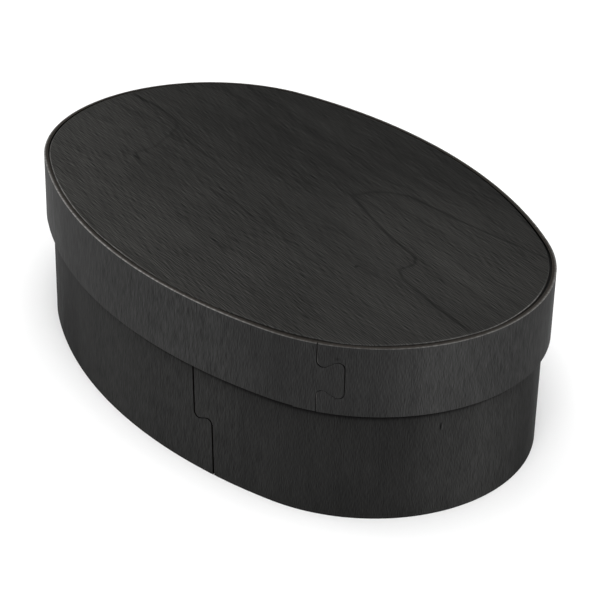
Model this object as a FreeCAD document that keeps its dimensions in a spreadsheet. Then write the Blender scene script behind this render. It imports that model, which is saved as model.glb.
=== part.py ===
"""Oval bentwood box with a loose lift-off lid, stained black.

Frame: millimetres, +Z up, +X along the long axis, origin under the middle of the box.
The oval is drawn with four tangent arcs: two end arcs and two flatter side arcs.
Every wall is a band of two thin plies bent round the oval. The ends of each outer ply
meet in a dovetailed jigsaw key, and the ends of each inner ply in a plain butt joint.
"""
import FreeCAD
import Part
import math
import os
import Sketcher
from FreeCAD import Placement, Rotation, Vector

# Driving dimensions, in millimetres and degrees
SIZES = (
    ("lid_length", 240.0, "outside of the lid along the long axis"),
    ("lid_width", 154.8, "outside of the lid across"),
    ("end_radius", 66.4, "end arcs of the lid's outside"),
    ("outer_ply", 0.85, "thickness of the outer ply of every band"),
    ("inner_ply", 0.75, "thickness of the inner ply of every band"),
    ("lid_clearance", 1.1, "between the lid's inner ply and the base's outer ply"),
    ("base_height", 66.6, "the base from the floor to its rim"),
    ("skirt_height", 26.7, "the lid's band, top edge to bottom edge"),
    ("panel_thickness", 4.0, "the lid's top panel and the base's bottom panel"),
    ("panel_proud", 0.3, "the top panel above the edge of its band"),
    ("groove_width", 0.45, "open joint line round the face of each panel"),
    ("groove_depth", 1.2, "depth of that joint line"),
    ("panel_round", 0.35, "rounding of each panel's face edge"),
    ("edge_chamfer", 0.25, "easing of the bands' outer edges"),
    ("key_radius", 2.2, "corners of both jigsaw keys"),
    ("lid_key_length", 9.7, "reach of the lid's key along the band"),
    ("lid_key_height", 13.9, "height of the lid's key across its head"),
    ("lid_key_flare", 30.0, "slope of the lid key's neck, degrees"),
    ("lid_kerf", 0.3, "open seam round the lid's key"),
    ("lid_seam_turn", 42.4, "place of the lid's key on its end arc, degrees"),
    ("lid_butt_turn", 31.1, "place of the inner butt joint on the same arc, degrees"),
    ("base_key_length", 8.6, "reach of the base's key along the band"),
    ("base_key_height", 23.8, "height of the base's key across its head"),
    ("base_key_flare", 20.0, "slope of the base key's neck, degrees"),
    ("base_kerf", 0.5, "open seam round the base's key"),
    ("base_seam_turn", 14.1, "place of the base's key on its side arc, degrees"),
    ("base_seam_lean", 2.0, "lean of the base's key, degrees"),
    ("base_butt_turn", 18.6, "place of the inner butt joint on the same arc, degrees"),
    ("butt_kerf", 0.2, "open seam of the inner butt joints"),
)

# Reach of the seam cutters past the band's edges, and their depth through the ply
CUT_OVERRUN = 3.0
CUT_DEPTH = 4.0

doc = FreeCAD.newDocument("oval_box")
sheet = doc.addObject("Spreadsheet::Sheet", "sizes")
for row, (alias, value, note) in enumerate(SIZES, start=1):
    sheet.set("A%d" % row, alias)
    sheet.set("B%d" % row, str(value))
    sheet.set("C%d" % row, note)
    sheet.setAlias("B%d" % row, alias)
doc.recompute()


def size(alias):
    return float(sheet.get(alias))


def cells(text):
    """Turn an expression on aliases into one on the sheet's cells."""
    for alias, _, _ in sorted(SIZES, key=lambda entry: -len(entry[0])):
        text = text.replace("<%s>" % alias, "sizes.%s" % alias)
    return text


# The four-arc oval: end arcs centred on X, side arcs centred on Y
END_CENTRE = "(<lid_length> / 2 - <end_radius>)"
SIDE_RADIUS = (
    "((%s ^ 2 + (<lid_width> / 2) ^ 2 - <end_radius> ^ 2) / (<lid_width> - 2 * <end_radius>))"
    % END_CENTRE
)
BAND = "(<outer_ply> + <inner_ply>)"
BASE_INSET = "(%s + <lid_clearance>)" % BAND

half_length = size("lid_length") / 2
half_width = size("lid_width") / 2
end_radius = size("end_radius")
end_centre = half_length - end_radius
side_radius = (end_centre ** 2 + half_width ** 2 - end_radius ** 2) / (2 * (half_width - end_radius))
side_centre = side_radius - half_width
junction = math.atan2(side_centre, end_centre)
band = size("outer_ply") + size("inner_ply")
base_inset = band + size("lid_clearance")


def plane(body, role):
    for feature in body.Origin.OriginFeatures:
        if feature.Role == role:
            return feature
    raise ValueError(role)


def new_sketch(body, name, role):
    sketch = body.newObject("Sketcher::SketchObject", name)
    sketch.AttachmentSupport = (plane(body, role), [""])
    sketch.MapMode = "FlatFace"
    return sketch


def bind(sketch, constraint, text):
    """Add a dimension to the sketch and drive it from the sheet."""
    index = sketch.addConstraint(constraint)
    sketch.setExpression("Constraints[%d]" % index, cells(text))


def add_oval(sketch, inset, inset_text):
    """Draw the oval, moved inwards by inset, as four tangent arcs."""
    end_sweep = 2 * junction
    side_sweep = math.pi - end_sweep
    arcs = []
    for centre, radius, start, sweep in (
        (Vector(end_centre, 0, 0), end_radius, -junction, end_sweep),
        (Vector(0, -side_centre, 0), side_radius, junction, side_sweep),
        (Vector(-end_centre, 0, 0), end_radius, math.pi - junction, end_sweep),
        (Vector(0, side_centre, 0), side_radius, math.pi + junction, side_sweep),
    ):
        circle = Part.Circle(centre, Vector(0, 0, 1), radius - inset)
        arcs.append(sketch.addGeometry(Part.ArcOfCircle(circle, start, start + sweep), False))
    right, top, left, bottom = arcs
    sketch.addConstraint(Sketcher.Constraint("Tangent", right, 2, top, 1))
    sketch.addConstraint(Sketcher.Constraint("Coincident", top, 2, left, 1))
    sketch.addConstraint(Sketcher.Constraint("Coincident", left, 2, bottom, 1))
    sketch.addConstraint(Sketcher.Constraint("Coincident", bottom, 2, right, 1))
    sketch.addConstraint(Sketcher.Constraint("Symmetric", top, 1, top, 2, -2))
    sketch.addConstraint(Sketcher.Constraint("Symmetric", right, 1, right, 2, -1))
    sketch.addConstraint(Sketcher.Constraint("Symmetric", left, 1, left, 2, -1))
    sketch.addConstraint(Sketcher.Constraint("Equal", right, left))
    sketch.addConstraint(Sketcher.Constraint("Equal", top, bottom))
    reach = Sketcher.Constraint("DistanceX", -1, 1, right, 3, end_centre)
    bind(sketch, reach, END_CENTRE)
    bind(sketch, Sketcher.Constraint("Radius", right, end_radius - inset), "<end_radius> - " + inset_text)
    side = Sketcher.Constraint("Radius", top, side_radius - inset)
    bind(sketch, side, "%s - %s" % (SIDE_RADIUS, inset_text))


def pad(body, sketch, name, length_text):
    feature = body.newObject("PartDesign::Pad", name)
    feature.Profile = sketch
    feature.setExpression("Length", cells(length_text))
    sketch.Visibility = False
    doc.recompute()
    return feature


def oval_edges(shape, level, inset):
    """Names of the edges at a level that lie on the oval moved inwards by inset."""
    names = []
    for number, edge in enumerate(shape.Edges, start=1):
        box = edge.BoundBox
        if abs(box.ZMin - level) > 1e-6 or abs(box.ZMax - level) > 1e-6:
            continue
        radius = getattr(edge.Curve, "Radius", 0)
        if min(abs(radius - end_radius + inset), abs(radius - side_radius + inset)) < 1e-6:
            names.append("Edge%d" % number)
    return names


def ease_edges(body, feature, names, name, kind, dimension, size_text):
    """Fillet or chamfer the named edges by a size from the sheet."""
    eased = body.newObject("PartDesign::" + kind, name)
    eased.Base = (feature, names)
    eased.setExpression(dimension, cells(size_text))
    doc.recompute()
    return eased


def seam_placement(on_end_arc, turn, radius, level, lean=0.0):
    """Frame of a seam: X along the band, Y up, Z outwards, as an offset from the XZ plane."""
    angle = math.radians(turn)
    centre = Vector(end_centre, 0, 0) if on_end_arc else Vector(0, 0, -side_centre)
    base = centre + Vector(radius * math.sin(angle), level, radius * math.cos(angle))
    return Placement(base, Rotation(Vector(0, 1, 0), turn) * Rotation(Vector(0, 0, 1), lean))


def cut_seam(body, sketch, name):
    """Cut the sketched seam inwards through the ply, and nothing beyond it."""
    before = body.Tip.Shape.Volume
    pocket = body.newObject("PartDesign::Pocket", name)
    pocket.Profile = sketch
    pocket.Length = CUT_DEPTH
    sketch.Visibility = False
    doc.recompute()
    if not pocket.Shape.Volume < before - 0.1:
        raise RuntimeError("%s cuts nothing" % name)
    return pocket


class KeyOutline:
    """One side of a seam round a jigsaw key, drawn as tangent lines and arcs.

    The key's middle is the sketch's origin and its tongue points to +X times side.
    The outline is moved off the seam's middle line by shift, away from the tongue.
    """

    def __init__(self, sketch, key, shift, side, reach):
        self.sketch = sketch
        self.side = side
        self.steps = []
        radius = size("key_radius")
        half = size(key + "_key_length") / 2
        slope = math.radians(size(key + "_key_flare"))
        head = Vector(half - radius, size(key + "_key_height") / 2 - radius, 0)
        up = Vector(-math.sin(slope), math.cos(slope), 0)
        along = Vector(math.cos(slope), math.sin(slope), 0)
        touch = head + up * radius
        travel = (radius - half - touch.x + radius * math.sin(slope)) / math.cos(slope)
        root = touch + along * travel + up * radius
        outer = radius + shift
        inner = radius - shift
        left = shift - half
        self.line((left, reach), (left, root.y))
        self.arc(root, inner, 180, 270 + math.degrees(slope), False)
        neck_low = root - up * inner
        neck_high = head + up * outer
        self.line((neck_low.x, neck_low.y), (neck_high.x, neck_high.y))
        self.arc(head, outer, 0, 90 + math.degrees(slope), True)
        self.line((half + shift, head.y), (half + shift, -head.y))
        self.arc(Vector(head.x, -head.y, 0), outer, 270 - math.degrees(slope), 360, True)
        self.line((neck_high.x, -neck_high.y), (neck_low.x, -neck_low.y))
        self.arc(Vector(root.x, -root.y, 0), inner, 90 - math.degrees(slope), 180, False)
        self.line((left, -root.y), (left, -reach))
        for (first, _, leave), (second, enter, _) in zip(self.steps, self.steps[1:]):
            sketch.addConstraint(Sketcher.Constraint("Tangent", first, leave, second, enter))

    def line(self, start, end):
        points = [Vector(x * self.side, y, 0) for x, y in (start, end)]
        self.steps.append((self.sketch.addGeometry(Part.LineSegment(*points), False), 1, 2))

    def arc(self, centre, radius, start, end, clockwise):
        """Angles are those of a key that points to +X; a mirrored key turns the other way."""
        if self.side < 0:
            centre = Vector(-centre.x, centre.y, 0)
            start, end = 180 - end, 180 - start
            clockwise = not clockwise
        circle = Part.Circle(centre, Vector(0, 0, 1), radius)
        curve = Part.ArcOfCircle(circle, math.radians(start), math.radians(end))
        ends = (2, 1) if clockwise else (1, 2)
        self.steps.append((self.sketch.addGeometry(curve, False),) + ends)

    def part(self, index):
        return self.steps[index][0]


def key_sketch(body, key, height, side, place):
    """Closed outline of the seam round a jigsaw key, both sides and the two end caps."""
    sketch = new_sketch(body, body.Name + "_key", "XZ_Plane")
    sketch.AttachmentOffset = place
    half_kerf = size(key + "_kerf") / 2
    reach = height / 2 + CUT_OVERRUN
    tongue = KeyOutline(sketch, key, -half_kerf, side, reach)
    socket = KeyOutline(sketch, key, half_kerf, side, reach)
    for index, end in ((0, 1), (8, 2)):
        corners = [sketch.getPoint(outline.part(index), end) for outline in (tongue, socket)]
        cap = sketch.addGeometry(Part.LineSegment(*corners), False)
        sketch.addConstraint(Sketcher.Constraint("Coincident", cap, 1, tongue.part(index), end))
        sketch.addConstraint(Sketcher.Constraint("Coincident", cap, 2, socket.part(index), end))
        sketch.addConstraint(Sketcher.Constraint("Horizontal", cap))
        level = reach if end == 1 else -reach
        sketch.addConstraint(Sketcher.Constraint("DistanceY", -1, 1, cap, 1, level))
    for outline in (tongue, socket):
        sketch.addConstraint(Sketcher.Constraint("Vertical", outline.part(0)))
        sketch.addConstraint(Sketcher.Constraint("Vertical", outline.part(8)))
    for index in (1, 3, 5, 7):
        pair = (tongue.part(index), 3, socket.part(index), 3)
        sketch.addConstraint(Sketcher.Constraint("Coincident", *pair))
    sketch.addConstraint(Sketcher.Constraint("Symmetric", tongue.part(1), 3, tongue.part(7), 3, -1))
    sketch.addConstraint(Sketcher.Constraint("Symmetric", tongue.part(3), 3, tongue.part(5), 3, -1))
    for outline, shift_text in ((tongue, "- <%s_kerf> / 2" % key), (socket, "+ <%s_kerf> / 2" % key)):
        for index in (3, 5):
            radius = sketch.Geometry[outline.part(index)].Radius
            dimension = Sketcher.Constraint("Radius", outline.part(index), radius)
            bind(sketch, dimension, "<key_radius> " + shift_text)
        for index in (1, 7):
            radius = sketch.Geometry[outline.part(index)].Radius
            dimension = Sketcher.Constraint("Radius", outline.part(index), radius)
            flipped = shift_text.replace("-", "~").replace("+", "-").replace("~", "+")
            bind(sketch, dimension, "<key_radius> " + flipped)
    head = sketch.getPoint(tongue.part(3), 3)
    root = sketch.getPoint(tongue.part(1), 3)
    reach_text = "<%s_key_length> / 2 - <key_radius>" % key
    head_x = Sketcher.Constraint("DistanceX", -1, 1, tongue.part(3), 3, head.x)
    root_x = Sketcher.Constraint("DistanceX", -1, 1, tongue.part(1), 3, root.x)
    bind(sketch, head_x, "%d * (%s)" % (side, reach_text))
    bind(sketch, root_x, "%d * (%s)" % (-side, reach_text))
    head_y = Sketcher.Constraint("DistanceY", -1, 1, tongue.part(3), 3, head.y)
    bind(sketch, head_y, "<%s_key_height> / 2 - <key_radius>" % key)
    slope = math.radians(size(key + "_key_flare"))
    angle = slope if side > 0 else math.pi - slope
    flare = Sketcher.Constraint("Angle", tongue.part(2), angle)
    angle_text = "<%s_key_flare> * 1 deg" if side > 0 else "180 deg - <%s_key_flare> * 1 deg"
    bind(sketch, flare, angle_text % key)
    doc.recompute()
    return sketch


def butt_sketch(body, height, place):
    """Closed outline of a straight seam."""
    sketch = new_sketch(body, body.Name + "_butt", "XZ_Plane")
    sketch.AttachmentOffset = place
    half = size("butt_kerf") / 2
    reach = height / 2 + CUT_OVERRUN
    corners = [Vector(x, y, 0) for x, y in ((-half, -reach), (half, -reach), (half, reach), (-half, reach))]
    lines = []
    for start, end in zip(corners, corners[1:] + corners[:1]):
        lines.append(sketch.addGeometry(Part.LineSegment(start, end), False))
    for first, second in zip(lines, lines[1:] + lines[:1]):
        sketch.addConstraint(Sketcher.Constraint("Coincident", first, 2, second, 1))
    for line in lines[0::2]:
        sketch.addConstraint(Sketcher.Constraint("Horizontal", line))
    for line in lines[1::2]:
        sketch.addConstraint(Sketcher.Constraint("Vertical", line))
    sketch.addConstraint(Sketcher.Constraint("Symmetric", lines[0], 1, lines[1], 2, -1, 1))
    width = Sketcher.Constraint("DistanceX", lines[0], 1, lines[0], 2, 2 * half)
    bind(sketch, width, "<butt_kerf>")
    sketch.addConstraint(Sketcher.Constraint("DistanceY", lines[1], 1, lines[1], 2, 2 * reach))
    doc.recompute()
    return sketch


def ply_ring(name, outer, outer_text, thickness, thickness_text, height_text, level_text):
    """A closed oval ring of one ply, standing at its level."""
    body = doc.addObject("PartDesign::Body", name)
    body.Label = name
    body.setExpression("Placement.Base.z", cells(level_text))
    sketch = new_sketch(body, name + "_oval", "XY_Plane")
    add_oval(sketch, outer, outer_text)
    add_oval(sketch, outer + thickness, "%s - %s" % (outer_text, thickness_text))
    pad(body, sketch, name + "_ply", height_text)
    return body


def outer_band(name, key, inset, inset_text, height, height_text, level_text, on_end_arc, side, lean):
    """Outer ply: eased outside edges and a jigsaw key where its ends meet."""
    body = ply_ring(name, inset, inset_text, size("outer_ply"), "<outer_ply>", height_text, level_text)
    ring = body.Tip
    names = oval_edges(ring.Shape, 0.0, inset) + oval_edges(ring.Shape, height, inset)
    ease_edges(body, ring, names, name + "_edges", "Chamfer", "Size", "<edge_chamfer>")
    radius = (end_radius if on_end_arc else side_radius) - inset + 1.0
    place = seam_placement(on_end_arc, size(key + "_seam_turn"), radius, height / 2, lean)
    cut_seam(body, key_sketch(body, key, height, side, place), name + "_seam")
    return body


def inner_band(name, key, inset, inset_text, height, height_text, level_text, on_end_arc):
    """Inner ply: a plain ring whose ends meet in a butt joint."""
    body = ply_ring(name, inset, inset_text, size("inner_ply"), "<inner_ply>", height_text, level_text)
    radius = (end_radius if on_end_arc else side_radius) - inset + 1.0
    place = seam_placement(on_end_arc, size(key + "_butt_turn"), radius, height / 2)
    cut_seam(body, butt_sketch(body, height, place), name + "_seam")
    return body


def panel(name, inset, inset_text):
    """Oval board whose face is set back from its band by an open joint line."""
    body = doc.addObject("PartDesign::Body", name)
    body.Label = name
    core = new_sketch(body, name + "_core", "XY_Plane")
    add_oval(core, inset, inset_text)
    pad(body, core, name + "_board", "<panel_thickness> - <groove_depth>")
    face = new_sketch(body, name + "_face", "XY_Plane")
    face.AttachmentOffset = Placement(Vector(0, 0, size("panel_thickness") - size("groove_depth")), Rotation())
    face.setExpression("AttachmentOffset.Base.z", cells("<panel_thickness> - <groove_depth>"))
    add_oval(face, inset + size("groove_width"), "%s - <groove_width>" % inset_text)
    raised = pad(body, face, name + "_raised", "<groove_depth>")
    names = oval_edges(raised.Shape, size("panel_thickness"), inset + size("groove_width"))
    ease_edges(body, raised, names, name + "_edges", "Fillet", "Radius", "<panel_round>")
    return body


skirt = size("skirt_height")
base_height = size("base_height")
LID_TOP = "(<base_height> + <panel_thickness> - <panel_proud>)"
LID_BOTTOM = "%s - <skirt_height>" % LID_TOP
base_height_text = "<base_height>"

base_outer = outer_band(
    "base_outer_band", "base", base_inset, BASE_INSET, base_height, base_height_text,
    "0", False, -1, size("base_seam_lean"),
)
base_inner = inner_band(
    "base_inner_band", "base", base_inset + size("outer_ply"), BASE_INSET + " - <outer_ply>",
    base_height, base_height_text, "0", False,
)
lid_outer = outer_band(
    "lid_outer_band", "lid", 0.0, "0", skirt, "<skirt_height>", LID_BOTTOM, True, 1, 0.0,
)
lid_inner = inner_band(
    "lid_inner_band", "lid", size("outer_ply"), "<outer_ply>", skirt, "<skirt_height>", LID_BOTTOM, True,
)

# The top panel's face is up; the bottom panel is the same board turned over
lid_panel = panel("lid_panel", band, BAND)
lid_panel.setExpression("Placement.Base.z", cells("<base_height>"))
base_panel = panel("base_panel", base_inset + band, "%s - %s" % (BASE_INSET, BAND))
base_panel.Placement = Placement(Vector(0, 0, size("panel_thickness")), Rotation(Vector(1, 0, 0), 180))
base_panel.setExpression("Placement.Base.z", cells("<panel_thickness>"))

doc.recompute()

nodes = (base_outer, base_inner, base_panel, lid_outer, lid_inner, lid_panel)
for item in doc.Objects:
    if "Invalid" in item.State or "Error" in item.State:
        raise RuntimeError("%s failed: %s" % (item.Label, item.State))
for node in nodes:
    shape = node.Shape
    if shape.isNull() or not shape.isValid() or len(shape.Solids) != 1:
        raise RuntimeError("%s is not one valid solid" % node.Label)
    box = shape.optimalBoundingBox(False, False)
    spans = (node.Label, box.XLength, box.YLength, box.ZMin, box.ZMax, shape.Volume)
    print("%-16s %8.2f x %8.2f mm, z %6.2f to %6.2f, %9.1f mm3" % spans)

os.makedirs("parts", exist_ok=True)
for node in nodes:
    node.Shape.exportStep("parts/%s.step" % node.Label)
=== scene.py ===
"""Finish of an oval bentwood box with a lift-off lid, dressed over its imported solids.

Each wall is made as the real one is: a flat strip of thin plywood is cut to length with a
jigsaw key at its ends, its edges are eased, and it is bent round the oval. Flat strips hold
X along the wall, Y inwards through the ply and Z up, in metres.
"""
import math

import bmesh
import bpy
from bpy.props import FloatProperty, FloatVectorProperty, PointerProperty
from mathutils import Matrix, Vector


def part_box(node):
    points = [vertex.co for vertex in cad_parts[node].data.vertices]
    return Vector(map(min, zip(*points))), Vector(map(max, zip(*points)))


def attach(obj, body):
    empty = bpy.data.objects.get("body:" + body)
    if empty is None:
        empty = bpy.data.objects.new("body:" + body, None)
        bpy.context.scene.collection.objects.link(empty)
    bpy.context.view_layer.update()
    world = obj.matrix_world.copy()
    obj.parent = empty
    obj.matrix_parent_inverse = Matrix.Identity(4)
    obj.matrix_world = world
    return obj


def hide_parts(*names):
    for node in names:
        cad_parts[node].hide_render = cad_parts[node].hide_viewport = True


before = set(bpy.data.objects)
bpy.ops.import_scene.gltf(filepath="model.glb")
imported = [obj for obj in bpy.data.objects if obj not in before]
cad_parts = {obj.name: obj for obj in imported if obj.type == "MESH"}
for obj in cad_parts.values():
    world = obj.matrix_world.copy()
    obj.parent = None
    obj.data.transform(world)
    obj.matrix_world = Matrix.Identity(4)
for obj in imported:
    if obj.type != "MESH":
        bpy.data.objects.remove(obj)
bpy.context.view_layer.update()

bl_info = {
    "name": "Oval bentwood box",
    "version": (1, 0, 0),
    "blender": (4, 5, 0),
    "location": "View3D > Sidebar > Oval box",
    "description": "Bent plies, boards and black stain of an oval box with a lift-off lid",
    "category": "Object",
}

MM = 0.001
TINY = 1e-7
LID_LOW, LID_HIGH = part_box("lid_outer_band")
BASE_LOW, BASE_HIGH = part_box("base_outer_band")
TOP_LOW, TOP_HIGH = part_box("lid_panel")
FLOOR_LOW, FLOOR_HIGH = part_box("base_panel")
# Width of the bays that a flat strip is cut into before it is bent, turn of one step of an arc,
# turn past which an edge stays sharp, and steps in the rounded edges of a board and of a ply.
BAY = 2.5 * MM
ARC_STEP = math.radians(9)
SHARP = math.radians(40)
ROUND_STEPS = 4
BEVEL_STEPS = 3
# Run of the slope in the lid's lower edge, height of the band at a wall's foot that counts as its
# edge, and how far a seam is drawn past the wall before it is cut level.
TRIM_RUN = 110 * MM
FOOT_BAND = 1 * MM
SEAM_OVERRUN = 3 * MM
# How far the top edge, the lower edge, and the straight runs and the key of a seam are lightened,
# partly by rubbed stain and partly by a painted highlight. Along a seam's straight runs it is
# mostly the painted highlight of a lit edge.
TOP_RUB_AND_HIGHLIGHT = 1.0
FOOT_RUB = 0.1
SEAM_HIGHLIGHT = 3.5
KEY_RUB = 0.05
# Tone of the painted shade down in the joint line round a board.
BOARD_GROOVE_SHADE = 0.15
# A face is a cut edge where its normal leans no further than this towards the ply's faces, and a
# point is on the inner face where it is deeper than this share of the ply.
CUT_LEAN = 0.3
INNER_FACE = 0.99


def steady(value):
    """Stops with the same value all round."""
    return ((-1.0, value), (1.0, value))


# Each list down to LID_GAPS holds stops round a wall: the place from the middle of the near long
# side in metres, then the value there. The first three are the stain's tone; on the lid's and the
# base's wall it is partly painted light and shade, lighter and darker bands where light and its
# reflection fall along the wall.
LID_TONES_AND_LIGHT = (
    (-0.320, 1.0), (-0.080, 0.92), (-0.040, 0.93), (-0.010, 1.1), (0.025, 1.15), (0.055, 1.06),
    (0.088, 0.76), (0.118, 0.74), (0.142, 1.2), (0.160, 1.1), (0.182, 0.9), (0.200, 0.65),
    (0.240, 0.75), (0.300, 1.0),
)
BASE_TONES_AND_LIGHT = (
    (-0.320, 1.0), (-0.075, 0.7), (-0.048, 0.75), (-0.028, 1.35), (0.0, 1.5), (0.028, 1.4),
    (0.055, 1.32), (0.075, 1.1), (0.096, 0.93), (0.124, 0.9), (0.142, 1.35), (0.160, 1.7),
    (0.172, 1.4), (0.188, 0.7), (0.202, 0.7), (0.250, 0.9),
)
LINING_TONES = steady(1.0)
# How strongly short fibres show.
FIBRES = (
    (-0.320, 0.7), (-0.100, 1.2), (-0.010, 1.0), (0.025, 0.8), (0.055, 0.9), (0.075, 0.4),
    (0.090, 0.12), (0.120, 0.1), (0.150, 0.45), (0.180, 1.0), (0.320, 0.7),
)
# How far an edge is lightened, partly by rubbed stain and partly by a painted highlight.
LID_RUBS_AND_HIGHLIGHTS = (
    (-0.320, 0.3), (-0.157, 0.4), (-0.077, 0.75), (-0.050, 0.95), (0.040, 0.9), (0.060, 0.75),
    (0.083, 0.42), (0.100, 0.25), (0.118, 0.2), (0.140, 0.4), (0.180, 0.5), (0.200, 0.7),
    (0.300, 0.3),
)
BASE_RUBS_AND_HIGHLIGHTS = steady(0.12)
LINING_RUBS_AND_HIGHLIGHTS = steady(0.1)
BOARD_RUBS_AND_HIGHLIGHTS = (
    (-0.320, 0.0), (-0.140, 0.05), (-0.100, 0.6), (-0.060, 0.95), (-0.030, 0.9), (0.0, 0.65),
    (0.030, 0.08), (0.120, 0.12), (0.145, 0.45), (0.185, 0.8), (0.205, 0.15), (0.240, 0.0),
)
# Width of the joint line round the lid's board, in metres.
LID_GAPS = (
    (-0.320, 0.0006), (-0.160, 0.0007), (-0.110, 0.0008), (-0.060, 0.0002), (-0.030, 0.00025),
    (0.0, 0.00045), (0.030, 0.00005), (0.055, 0.0001), (0.070, 0.0006), (0.085, 0.0009),
    (0.096, 0.001), (0.108, 0.0004), (0.130, 0.0007), (0.145, 0.0006), (0.160, 0.0003),
    (0.180, 0.0007), (0.200, 0.001), (0.320, 0.0006),
)
# Growth rings on the lid's board, in millimetres along and across it.
RING_LINE = (
    (92, 52), (56, 45), (44, 43), (24, 40), (17, 36), (13, 30), (11, 22), (24, 19), (39, 15),
    (54, 13), (64, 12), (68, 8), (68, 2), (74, -1), (96, -4), (116, -5),
)
FAINT_LINE = ((-116, 0), (-96, 2), (-84, 1), (-77, -2), (-72, -9), (-66, -19), (-65, -29))
RING_STRENGTH = 0.52
FAINT_STRENGTH = 0.36
# How far the grain pushes a line aside, and the distances at which a line is full and gone.
LINE_WANDER = 2.0
LINE_FULL, LINE_GONE = 0.1, 1.0
# Soft clouds and small marks, in millimetres: place, reach along, reach across and gain of tone. On
# a wall the place is along it from the middle of the near long side, and up from the floor.
CLOUDS = (
    (-86, -34, 40, 30, 0.22), (-20, 24, 60, 22, -0.14), (64, 32, 75, 38, 0.5), (-88, 14, 36, 11, -0.1),
    (-38, -64, 70, 30, 0.28), (80, -40, 42, 26, -0.15), (-61.4, -30.0, 3.6, 0.9, -0.9),
    (-61, -31.6, 3.4, 0.7, 0.5), (58.2, -9.8, 1.1, 0.9, -0.9), (-108, 0.7, 4.5, 0.8, -0.5),
)
BASE_FLECKS = ((140.7, 35.9, 0.5, 2.0, -0.8), (141.2, 35.6, 0.4, 1.6, 0.9))
LID_FLECKS = ((106.4, 65.4, 0.6, 0.9, -0.5),)
# Slow changes over the lid's board: from and to in millimetres, then the value at each. The first
# is painted shade across the board, lighter on the near side and darker on the far side, the next
# two are the stain's tone along it, the fourth is how strongly its fibres show, and the last is
# how far they lean.
ACROSS_SHADE = (-60.0, 62.0, 1.12, 0.68)
LEFT_TONE = (-112.0, -62.0, 1.15, 1.0)
RIGHT_TONE = (35.0, 95.0, 1.0, 1.1)
FIBRE_SHOW = (-50.0, 40.0, 2.1, 1.7)
FIBRE_LEAN = (-20.0, 15.0, 0.0, 0.03)
# Likewise on a wall: the faint line over a butt joint, by the distance from it, the painted shadow
# line just under the lid's lower edge and its easing to a deeper stain behind the lid, by the height
# above that edge, and the painted shade on the lining's inner face in the joint line round the lid's
# board, by the height above the lid's top edge.
JOINT_LINE = (0.1, 0.4, 1.14, 1.0)
LID_SHADOW_LINE = (-3.6, -1.6, 0.0, 0.65)
UNFADED = (-0.6, 3.0, 0.0, 0.5)
LINING_GROOVE_SHADE = (-1.7, -1.2, 0.0, 1.0 - BOARD_GROOVE_SHADE)
# Tone of a cut edge by the distance from the ply's middle, as a share of the ply, because the middle
# veneer is darker, and the share of an edge's rubbing and painted highlight that shows, by its
# weighted grain.
VENEER = (0.14, 0.2, 0.7, 1.0)
RUB_AND_HIGHLIGHT_PATCHES = (-0.14, 0.16, 0.5, 1.0)
# How much each layer of the grain changes the stain's tone, a cut edge's tone, the rubbing and
# painted highlight of an edge, the roughness and the height.
WALL_GRAIN = {"pore": 0.8, "fine": 0.55, "middle": 0.28, "broad": 0.25, "cloud": 0.35, "fleck": 0.1}
BOARD_GRAIN = {"pore": 2.2, "fine": 0.85, "middle": 0.35, "broad": 0.35}
BOARD_CLOUD = 0.45
EDGE_GRAIN = {"fleck": 1.2}
RUB_AND_HIGHLIGHT_GRAIN = {"fleck": 1.0, "middle": 0.6}
ROUGH_GRAIN = {"broad": 0.2, "fine": 0.25}
GRAIN_HEIGHT = {"pore": 0.6, "fine": 0.8, "middle": 0.4}
ROUGHNESS = 0.5
RELIEF_DEPTH = 0.1 * MM
WALL_RELIEF = 0.12
BOARD_RELIEF = 0.07
# Length of the fine fibres, and how many times finer than the layers' millimetres the grain is.
WALL_RUN = 0.8
BOARD_RUN = 1.4
WALL_FINENESS = 1.5
BOARD_FINENESS = 1.45
# How far one seed moves the noise across and along the grain, how far apart the dark and light
# sides of a crisp fibre are, and how rough the noise is.
SEED_ACROSS, SEED_ALONG = 7.3, 3.1
FIBRE_SHIFT = 0.7
NOISE_ROUGHNESS = 0.6


def length(name, description, default):
    return FloatProperty(name=name, description=description, default=default, unit="LENGTH", precision=5)


def colour(name, description, default):
    return FloatVectorProperty(
        name=name, description=description, default=default, subtype="COLOR", size=3, min=0, max=1
    )


def angle(name, description, degrees):
    return FloatProperty(name=name, description=description, default=math.radians(degrees), unit="ROTATION")


def gloss(name, description, default):
    return FloatProperty(name=name, description=description, default=default, min=0, max=1)


class BoxSizes(bpy.types.PropertyGroup):
    """Sizes that the solids don't give by their boxes alone."""

    lid_length: length("Lid length", "Outside of the lid along the oval", LID_HIGH.x - LID_LOW.x)
    lid_width: length("Lid width", "Outside of the lid across the oval", LID_HIGH.y - LID_LOW.y)
    end_radius: length("End radius", "Radius of the lid's end arcs", 66.4 * MM)
    outer_ply: length("Outer ply", "Thickness of the outer ply", 0.85 * MM)
    inner_ply: length("Inner ply", "Thickness of the inner ply", 0.75 * MM)
    base_inset: length("Base inset", "From the lid's outside in to the base's", LID_HIGH.x - BASE_HIGH.x)
    groove_width: length("Groove width", "Open joint line round each board", 0.45 * MM)
    groove_depth: length("Groove depth", "Depth of that joint line", 1.2 * MM)
    edge_round: length("Edge rounding", "Rounding of the outer plies' long edges", 0.22 * MM)
    lining_round: length("Lining rounding", "Rounding of the inner plies' long edges", 0.08 * MM)
    seam_ease: length("Seam easing", "Rounding of the edge left of a key", 0.10 * MM)
    trim_step: length("Trim step", "Step in the lid's lower edge beside its lining joint", 0.4 * MM)
    board_round: length("Board rounding", "Rounding of a board's face edge", 0.4 * MM)
    key_radius: length("Key radius", "Corner radius of the jigsaw keys", 2.2 * MM)


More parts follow.
